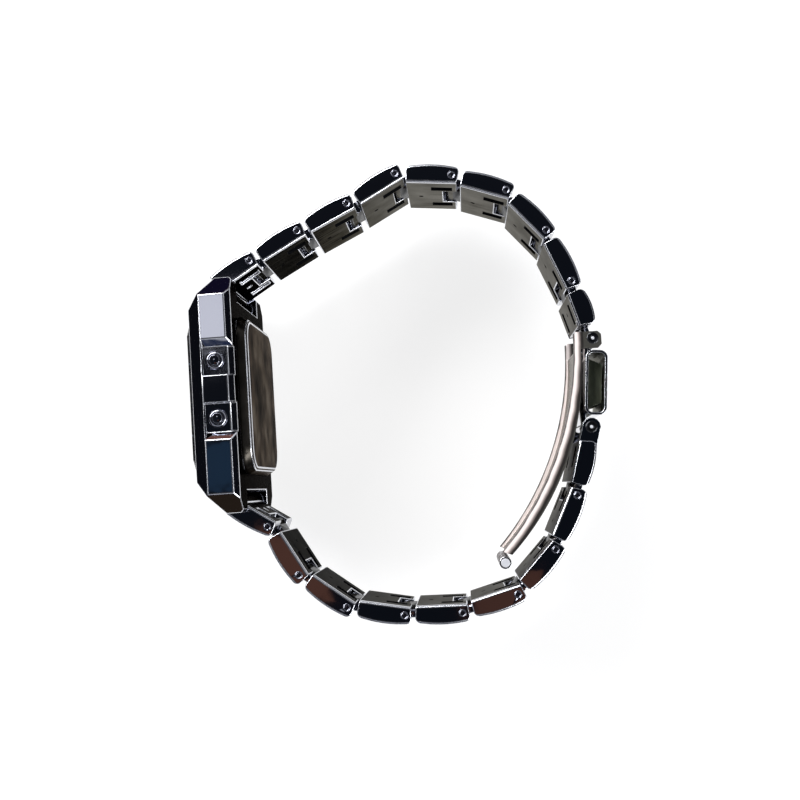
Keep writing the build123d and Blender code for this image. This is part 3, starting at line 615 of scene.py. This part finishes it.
class WATCH_OT_case(bpy.types.Operator):
    """Polish the case, brush its back and set the glass"""

    bl_idname = "watch.case"
    bl_label = "Case, back and glass"

    def execute(self, context):
        # the wrist side takes the darker finish, which is painted shade
        softened("case_body", sizes().case_edge, wrist_side, "chrome", "rear_painted_shade")
        softened("case_back", sizes().case_edge, all_over, "back")
        softened("front_glass", sizes().glass_edge, faces_first, "glass", "dial", edge_highlight=None)
        return {"FINISHED"}


# Which segments each numeral lights: top, upper left, upper right, middle, lower left, lower right, foot
NUMERALS = {
    "0": "1110111", "1": "0010010", "2": "1011101", "3": "1011011", "4": "0111010",
    "5": "1101011", "6": "1101111", "7": "1010010", "8": "1111111", "9": "1111011",
}
# A made-up time: text, its left side and its foot from the panel's middle in mm, share of the digit height
READOUT = (
    ("10", -7.3, -3.2, 1.0), ("58", -0.9, -3.2, 1.0), ("36", 4.9, -3.2, 0.72), ("30", 3.9, 2.1, 0.4),
)
# The two dots between the hours and the minutes: left side, foot of each, and width, in mm
COLON_LEFT, COLON_FEET, COLON_DOT = -1.75, (-2.0, 0.2), 0.5
# A numeral's width and stroke as shares of its height, and the step to the next one in strokes
NUMERAL_WIDTH_SHARE, STROKE_SHARE, GAP_STROKES = 0.52, 0.13, 1.6
# The printed lines on the dial plate, in mm: up from its middle, half their length, and their width
PRINT_UPWARD = {"upper": 6.6, "lower": -6.6}
PRINT_REACH, PRINT_WIDTH = 8.2, 0.25
# How thick the segments lie on the panel, and how far a line stands over the dial plate and goes into it
SEGMENT_THICK, PRINT_RISE, PRINT_SINK = 0.02 * MM, 0.006 * MM, 0.004 * MM


def seven_segments(wide, tall, thick):
    """Left side, foot, width and height of each segment of a numeral, in the order of NUMERALS."""
    half = tall / 2
    return (
        (thick, tall - thick, wide - 2 * thick, thick),
        (0, half, thick, half - thick),
        (wide - thick, half, thick, half - thick),
        (thick, (tall - thick) / 2, wide - 2 * thick, thick),
        (0, thick, thick, half - thick),
        (wide - thick, thick, thick, half - thick),
        (thick, 0, wide - 2 * thick, thick),
    )


class WATCH_OT_dial(bpy.types.Operator):
    """Print the dial plate and light the display's segments"""

    bl_idname = "watch.dial"
    bl_label = "Dial and display"

    def execute(self, context):
        paint("dial_mask", "dial")
        paint("lcd_panel", "panel")
        self.segments()
        self.lines()
        return {"FINISHED"}

    def segments(self):
        """A generic time in seven-segment numerals, joined into one thin mesh on the panel."""
        low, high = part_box("lcd_panel")
        middle = (low + high) / 2
        shape = bmesh.new()

        def bar(left, foot, width, height):
            start = (low.x - SEGMENT_THICK, middle.y + foot, middle.z + left)
            end = (low.x, middle.y + foot + height, middle.z + left + width)
            add_box(shape, start, end)

        for text, left, foot, height_share in READOUT:
            tall = sizes().digit_height * height_share
            wide, thick = tall * NUMERAL_WIDTH_SHARE, tall * STROKE_SHARE
            for place, numeral in enumerate(text):
                start = left * MM + place * (wide + thick * GAP_STROKES)
                for lit, (right, up, width, height) in zip(
                        NUMERALS[numeral], seven_segments(wide, tall, thick)):
                    if lit == "1":
                        bar(start + right, foot * MM + up, width, height)
        for foot in COLON_FEET:
            bar(COLON_LEFT * MM, foot * MM, COLON_DOT * MM, COLON_DOT * MM)
        mesh = bpy.data.meshes.new("display_segments")
        shape.to_mesh(mesh)
        shape.free()
        piece = place_mesh("display_segments", mesh, "case", "segment")

    def lines(self):
        """Fine printed lines on the dial plate, over and under the display."""
        low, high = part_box("dial_mask")
        middle = (low + high) / 2
        for name, upward in PRINT_UPWARD.items():
            foot = middle.y + upward * MM
            shape = bmesh.new()
            add_box(
                shape, (low.x - PRINT_RISE, foot, middle.z - PRINT_REACH * MM),
                (low.x + PRINT_SINK, foot + PRINT_WIDTH * MM, middle.z + PRINT_REACH * MM))
            mesh = bpy.data.meshes.new(f"printed_line_{name}")
            shape.to_mesh(mesh)
            shape.free()
            piece = place_mesh(f"printed_line_{name}", mesh, "case", "line")


# The end of a pusher's head from its middle outwards: share of its radius, height in mm
PUSHER_CROWN = ((0, 0), (0.88, -0.004), (0.95, -0.03), (1, -0.1))
# The rounded end of a sleeve from its bore outwards: distance from the bore and height, in mm
SLEEVE_CROWN = (
    (0, -0.1), (0.05, -0.03), (0.12, 0), (0.26, -0.04), (0.4, -0.11), (0.52, -0.2), (0.62, -0.32),
)
# The slope between a pusher's head and stem, and the stem's radius at its very end
PUSHER_NECK, STEM_END_SHARE = 0.05 * MM, 0.9


class WATCH_OT_pushers(bpy.types.Operator):
    """Turn the pushers and their sleeves"""

    bl_idname = "watch.pushers"
    bl_label = "Pushers and sleeves"

    def execute(self, context):
        low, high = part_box("pusher_sleeves")
        for name, up in PUSHERS.items():
            first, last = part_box(f"pusher_{name}")
            middle = (first + last) / 2
            top, crown = (last.z, high.z) if up > 0 else (first.z, low.z)
            self.pusher(name, up, (middle.x, middle.y, top), last.z - first.z)
            self.sleeve(name, up, (middle.x, middle.y, crown))
        return {"FINISHED"}

    def pusher(self, name, up, centre, length):
        """A pusher with a domed head, and a stem that tapers at its end."""
        size = sizes()
        under = -size.pusher_head
        head = lathe(f"pusher_{name}_turned", [
            *scaled(PUSHER_CROWN, size.pusher_radius), (size.pusher_radius, under),
            (size.pusher_stem, under - PUSHER_NECK), (size.pusher_stem, size.stem_taper - length),
            (STEM_END_SHARE * size.pusher_stem, -length), (0, -length),
        ], centre, up, f"button_{name}", "chrome")
        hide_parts(f"pusher_{name}")

    def sleeve(self, name, up, centre):
        """The sleeve that a pusher slides in, rounded at its outer end."""
        size = sizes()
        sleeve = lathe(f"sleeve_{name}_turned", [
            (size.sleeve_bore, -size.sleeve_length),
            *((size.sleeve_bore + outward * MM, height * MM) for outward, height in SLEEVE_CROWN),
            (size.sleeve_radius, -size.sleeve_shoulder), (size.sleeve_radius, -size.sleeve_length),
            (size.sleeve_bore, -size.sleeve_length),
        ], centre, up, "case", "chrome")
        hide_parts("pusher_sleeves")


# The ring round a link pin, from its rim to its middle: share of the rim's radius, height in mm
PIN_RING = (
    (1, -0.02), (0.9324, 0.056), (0.8243, 0.07), (0.7027, 0.014), (0.6486, -0.12), (0.45, -0.06),
    (0, -0.03),
)
# How far under the line of its pins a link's skin side and the walls of its pockets lie, and how far
# from the middle of its width the pockets reach
SKIN_DEPTH = 1.2 * MM
POCKET_TOP, POCKET_FLOOR, POCKET_REACH = 1.1 * MM, 1.55 * MM, 8 * MM
# Faces turned to the wrist by more than this, on the end links and on the rest, and pocket walls by less
END_LINK_TURN, LINK_TURN, WALL_TURN = 0.6, 0.85, 0.3


def joint_place(name):
    return Vector(next(j["pos_m"] for j in frame["joints"] if j["name"] == name))


def link_axes(half, number):
    """A link's pivot, and the direction out of the loop there."""
    start = joint_place(f"{half}_hinge_{number}")
    if number < len(LINKS):
        end = joint_place(f"{half}_hinge_{number + 1}")
    else:
        end = joint_place("blade_hinge" if half == "upper" else "cover_hinge")
    along = (end - start).normalized()
    return start, Vector((-along.y, along.x, 0)) * HALVES[half]


class WATCH_OT_links(bpy.types.Operator):
    """Polish the links outside, brush them inside and burnish their pins"""

    bl_idname = "watch.links"
    bl_label = "Bracelet links"

    def execute(self, context):
        for half in HALVES:
            for number in LINKS:
                self.dress(half, number)
                if number < len(LINKS):
                    self.pin(half, number)
        return {"FINISHED"}

    def dress(self, half, number):
        """Chrome outside, brushed on the skin side with painted shade, darkest on the end links, and near black in
        the pockets, also painted shade.
        """
        start, outward = link_axes(half, number)
        low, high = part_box("case_body")
        middle = (low.z + high.z) / 2
        end_link, last_link = number == 1, number == len(LINKS)

        def choose(normal, centre):
            depth = (start - centre).dot(outward)
            inward = -normal.dot(outward)
            if inward > (END_LINK_TURN if end_link else LINK_TURN):
                return 1 if depth > SKIN_DEPTH or end_link else 2
            in_pocket = POCKET_TOP < depth < POCKET_FLOOR and abs(centre.z - middle) < POCKET_REACH
            return 2 if in_pocket and abs(inward) < WALL_TURN else 0

        edge = sizes().ear_edge if last_link else sizes().link_edge
        # the end links' skin side takes the darkest painted shade
        inner = "rear_painted_shade" if end_link else "skin_side"
        softened(f"{half}_link_{number}", edge, choose, "chrome", inner, "recess")

    def pin(self, half, number):
        """A link's pin, with a bright ring round each end."""
        node = f"{half}_pin_{number}"
        paint(node, "pin")
        low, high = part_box(f"{half}_link_{number}")
        turned_ends(node, sizes().pin_rim, (high.z, low.z), ("burr", PIN_RING, "chrome"), steps=24)


# Turned ends in the clasp, from the rim to the middle: share of the radius, height in mm
TUBE_DISC = ((0.74, -0.05), (0.72, 0.03), (0.64, 0.05), (0, 0.05))
RIVET_HEAD = (
    (1, 0), (0.9429, 0.07), (0.8476, 0.08), (0.7714, 0.02), (0.45, 0.02), (0.4, 0.06), (0, 0.08),
)
RIVET_DOT = ((0.28, 0.06), (0.24, 0.14), (0.14, 0.2), (0, 0.22))


class WATCH_OT_clasp(bpy.types.Operator):
    """Finish the folding clasp"""

    bl_idname = "watch.clasp"
    bl_label = "Folding clasp"

    def execute(self, context):
        edge = sizes().clasp_edge
        softened("clasp_cover", edge, outer_first("clasp_cover"), "chrome", "cover_inside")
        softened("cover_latch", edge, all_over, "latch")
        softened("clasp_blade", edge, sides_first, "blade_edge", "blade", edge_highlight="blade_edge")
        softened("blade_tube", edge, all_over, "tube")
        low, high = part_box("blade_tube")
        radius = (high.x - low.x) / 2
        turned_ends("blade_tube", radius, (high.z, low.z), ("end", TUBE_DISC, "bright_face"))
        self.rivet("clasp_pin_upper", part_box("clasp_blade")[1].z)
        low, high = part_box("clasp_pin_lower")
        self.rivet("clasp_pin_lower", (low.z + high.z) / 2 + sizes().lower_ear_reach)
        return {"FINISHED"}

    def rivet(self, node, top):
        """A clasp pin, with a ring and a domed dot with a painted highlight on each end, the near one at this
        height.
        """
        paint(node, "pin")
        low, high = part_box(node)
        levels = (top, low.z + high.z - top)
        parts = (("head", RIVET_HEAD, "pin"), ("dot", RIVET_DOT, "bright_face"))
        turned_ends(node, sizes().clasp_rim, levels, *parts)


class WATCH_OT_inside(bpy.types.Operator):
    """Colour the pieces inside the case"""

    bl_idname = "watch.inside"
    bl_label = "Inside the case"

    def execute(self, context):
        inside = {
            "module_frame": "plastic", "circuit_board": "board", "battery": "steel_can",
            "battery_strap": "steel_can", "contact_leaves": "brass", "back_gasket": "rubber",
            "pusher_gaskets": "rubber", "spring_bar_upper": "pin", "spring_bar_lower": "pin",
        }
        for node, name in inside.items():
            paint(node, name)
        return {"FINISHED"}


# The floor's half width, how far it lies under the watch, and how bright it glows to camera and mirrors
FLOOR_REACH, FLOOR_DROP, FLOOR_GLOW = 1.5, 0.02 * MM, 0.8
# The room from the horizon, 0, to straight above, 1, as linear colours: pale all round and dark overhead
ROOM_STEPS = (
    (0.0, (0.96, 0.96, 0.97, 1)), (0.46, (0.85, 0.86, 0.90, 1)), (0.62, (0.30, 0.31, 0.34, 1)),
    (0.78, (0.04, 0.042, 0.05, 1)), (1.0, (0.010, 0.0125, 0.018, 1)),
)
# Soft lamps: name, place, width and height in metres, power in watts. They look at LAMP_AIM
LAMPS = (
    ("key_softbox", (-0.45, 0.55, 0.6), 1.0, 0.22, 11.0),
    ("fill_softbox", (0.6, -0.45, 0.5), 0.8, 0.18, 5.5),
)
LAMP_AIM = (0.03, 0, 0)
# Small cards high over the watch, placed so that a few polished sides mirror them in the main view:
# name, place, width and height in metres, linear colour of the glow
CARDS = (
    ("white_card", (-0.1000, 0.0885, 0.5), 0.036, 0.037, (1.75, 1.75, 1.78)),
    ("blue_card", (-0.0995, 0.0014, 0.5), 0.030, 0.031, (0.02, 0.055, 0.10)),
    ("brown_card_left", (-0.060, -0.059, 0.5), 0.045, 0.045, (0.19, 0.075, 0.040)),
    ("brown_card_right", (0.062, -0.086, 0.5), 0.045, 0.030, (0.15, 0.060, 0.032)),
)
# The ring of cloths: how many flat sides it has, and the heights that part its rows under flag_height
FLAG_SIDES = 48
FLAG_LEVELS = (0.5 * MM, 30 * MM, 52 * MM)
# Each cloth: the sides that it hangs on in degrees from +X, its row (None is all), its linear colour
Cloth = namedtuple("Cloth", "name start end row colour")
CLOTHS = (
    Cloth("rust_cloth", 100, 135, 1, (0.42, 0.19, 0.14)),
    Cloth("rust_cloth_top", 100, 135, 2, (0.42, 0.19, 0.14)),
    Cloth("violet_cloth", 90, 130, 0, (0.014, 0.011, 0.036)),
    Cloth("brown_cloth", 225, 270, 0, (0.05, 0.034, 0.022)),
    Cloth("brown_cloth_top", 225, 270, 1, (0.05, 0.034, 0.022)),
    Cloth("blue_cloth", 225, 270, 2, (0.03, 0.05, 0.12)),
    Cloth("black_velvet", 0, 360, None, (0.0095, 0.0105, 0.0145)),
)


def lamp(name, place, target, width, height, power):
    """A soft rectangular lamp that looks at a point."""
    data = bpy.data.lights.new(name, "AREA")
    data.shape = "RECTANGLE"
    data.size = width
    data.size_y = height
    data.energy = power
    light = bpy.data.objects.new(name, data)
    light.location = place
    light.rotation_euler = (Vector(target) - Vector(place)).to_track_quat("-Z", "Y").to_euler()
    bpy.context.scene.collection.objects.link(light)
    return light


def card(name, place, width, height, radiance):
    """A small lamp that faces straight down, as bright as this linear colour."""
    strongest = max(radiance)
    under = (place[0], place[1], 0)
    light = lamp(name, place, under, width, height, strongest * math.pi * width * height)
    light.data.color = [channel / strongest for channel in radiance]


class WATCH_OT_stage(bpy.types.Operator):
    """Lay the pale floor, hang the lamps and set up the camera"""

    bl_idname = "watch.stage"
    bl_label = "Floor, lamps and camera"

    def execute(self, context):
        self.floor()
        self.room()
        for name, place, width, height, power in LAMPS:
            lamp(name, place, LAMP_AIM, width, height, power)
        for each in CARDS:
            card(*each)
        self.flags()
        self.camera()
        context.scene.view_settings.view_transform = "Standard"
        return {"FINISHED"}

    def floor(self):
        """Matt card: grey in the light it throws on the watch, near white to the camera and in mirrors."""
        mesh = bpy.data.meshes.new("floor")
        shape = bmesh.new()
        corners = [
            shape.verts.new((x * FLOOR_REACH, y * FLOOR_REACH, -FLOOR_DROP))
            for x, y in ((-1, -1), (1, -1), (1, 1), (-1, 1))]
        shape.faces.new(corners)
        shape.to_mesh(mesh)
        shape.free()
        floor = bpy.data.objects.new("floor", mesh)
        bpy.context.scene.collection.objects.link(floor)
        material, tree = new_material("matt_white_card")
        path = add_node(tree, "ShaderNodeLightPath")
        through = add_node(
            tree, "ShaderNodeMath", {"operation": "MAXIMUM"},
            i0=path.outputs["Is Glossy Ray"], i1=path.outputs["Is Transmission Ray"])
        seen = add_node(
            tree, "ShaderNodeMath", {"operation": "MAXIMUM"},
            i0=path.outputs["Is Camera Ray"], i1=through.outputs[0])
        matt = add_node(tree, "ShaderNodeBsdfDiffuse", Color=linear(colours().floor))
        glow = add_node(tree, "ShaderNodeEmission", Color=(1, 1, 1, 1), Strength=FLOOR_GLOW)
        both = add_node(tree, "ShaderNodeAddShader", i0=matt.outputs[0], i1=glow.outputs[0])
        pick = add_node(
            tree, "ShaderNodeMixShader", Fac=seen.outputs[0], i1=matt.outputs[0], i2=both.outputs[0])
        add_node(tree, "ShaderNodeOutputMaterial", Surface=pick.outputs[0])
        mesh.materials.append(material)

    def room(self):
        """The soft light of the room."""
        world = bpy.data.worlds.new("soft_room")
        bpy.context.scene.world = world
        world.use_nodes = True
        tree = world.node_tree
        tree.nodes.clear()
        place = add_node(tree, "ShaderNodeTexCoord")
        axes = add_node(tree, "ShaderNodeSeparateXYZ", Vector=place.outputs["Generated"])
        ramp = add_node(tree, "ShaderNodeValToRGB", Fac=axes.outputs["Z"])
        set_ramp(ramp, ROOM_STEPS)
        light = add_node(tree, "ShaderNodeBackground", Color=ramp.outputs[0], Strength=1.0)
        add_node(tree, "ShaderNodeOutputWorld", Surface=light.outputs[0])

    def flags(self):
        """A ring of dark cloths that only mirrored rays see, for what the photo's chrome mirrors."""
        size = sizes()
        shape = bmesh.new()
        turns = [2 * math.pi * i / FLAG_SIDES for i in range(FLAG_SIDES)]
        middle_x = (cad_bounds[0][0] + cad_bounds[1][0]) / 2
        reach = size.flag_radius
        rings = [
            [shape.verts.new((middle_x + reach * math.cos(turn), reach * math.sin(turn), z))
             for turn in turns]
            for z in (*FLAG_LEVELS, size.flag_height)]
        for row, (low, high) in enumerate(zip(rings, rings[1:])):
            for i, turn in enumerate(turns):
                j = (i + 1) % FLAG_SIDES
                face = shape.faces.new((low[i], low[j], high[j], high[i]))
                side = math.degrees(turn)
                face.material_index = next(
                    k for k, cloth in enumerate(CLOTHS)
                    if cloth.row in (row, None) and cloth.start <= side < cloth.end)
        mesh = bpy.data.meshes.new("black_flags")
        shape.to_mesh(mesh)
        shape.free()
        for cloth in CLOTHS:
            material, tree = new_material(cloth.name)
            glow = add_node(tree, "ShaderNodeEmission", Color=(*cloth.colour, 1), Strength=1.0)
            add_node(tree, "ShaderNodeOutputMaterial", Surface=glow.outputs[0])
            mesh.materials.append(material)
        flag = bpy.data.objects.new("black_flags", mesh)
        bpy.context.scene.collection.objects.link(flag)
        for kind in ("camera", "diffuse", "transmission", "volume_scatter", "shadow"):
            setattr(flag, f"visible_{kind}", False)

    def camera(self):
        """The camera, from where the point under it shows in the picture and from its turn."""
        size = sizes()
        # in the camera's own axes, which are right, low and ahead: straight down, and the world's X and Y
        down = Vector((size.view_down_right, size.view_down_low, size.view_focal)).normalized()
        flat = Vector((1, 0, 0))
        flat = (flat - flat.dot(down) * down).normalized()
        upward = -down.cross(flat)
        turn = size.view_roll
        world_x = math.cos(turn) * flat + math.sin(turn) * upward
        world_y = -math.sin(turn) * flat + math.cos(turn) * upward
        # and the other way round: right, low and ahead in the world's axes
        right, low, ahead = Matrix((world_x, world_y, -down)).transposed()
        data = bpy.data.cameras.new("camera")
        data.sensor_width = 36.0
        data.lens = size.view_focal / size.picture_side * data.sensor_width
        data.clip_start = 0.01
        data.clip_end = 10.0
        view = bpy.data.objects.new("camera", data)
        view.matrix_world = (
            Matrix.Translation(size.view_place) @ Matrix((right, -low, -ahead)).transposed().to_4x4())
        bpy.context.scene.collection.objects.link(view)
        bpy.context.scene.camera = view


OPERATORS = (
    WATCH_OT_stage, WATCH_OT_case, WATCH_OT_dial, WATCH_OT_pushers, WATCH_OT_links, WATCH_OT_clasp,
    WATCH_OT_inside,
)


class WATCH_PT_panel(bpy.types.Panel):
    """Lists the watch's pieces"""

    bl_label = "Watch"
    bl_idname = "WATCH_PT_panel"
    bl_space_type = "VIEW_3D"
    bl_region_type = "UI"
    bl_category = "Watch"

    def draw(self, context):
        for operator in OPERATORS:
            self.layout.operator(operator.bl_idname)


CLASSES = (WatchSizes, WatchColours, *OPERATORS, WATCH_PT_panel)


def register():
    for each in CLASSES:
        bpy.utils.register_class(each)
    bpy.types.Scene.watch_sizes = PointerProperty(type=WatchSizes)
    bpy.types.Scene.watch_colours = PointerProperty(type=WatchColours)


def unregister():
    del bpy.types.Scene.watch_colours
    del bpy.types.Scene.watch_sizes
    for each in reversed(CLASSES):
        bpy.utils.unregister_class(each)


def main():
    register()
    for operator in OPERATORS:
        group, name = operator.bl_idname.split(".")
        getattr(getattr(bpy.ops, group), name)()


if __name__ == "__main__":
    main()
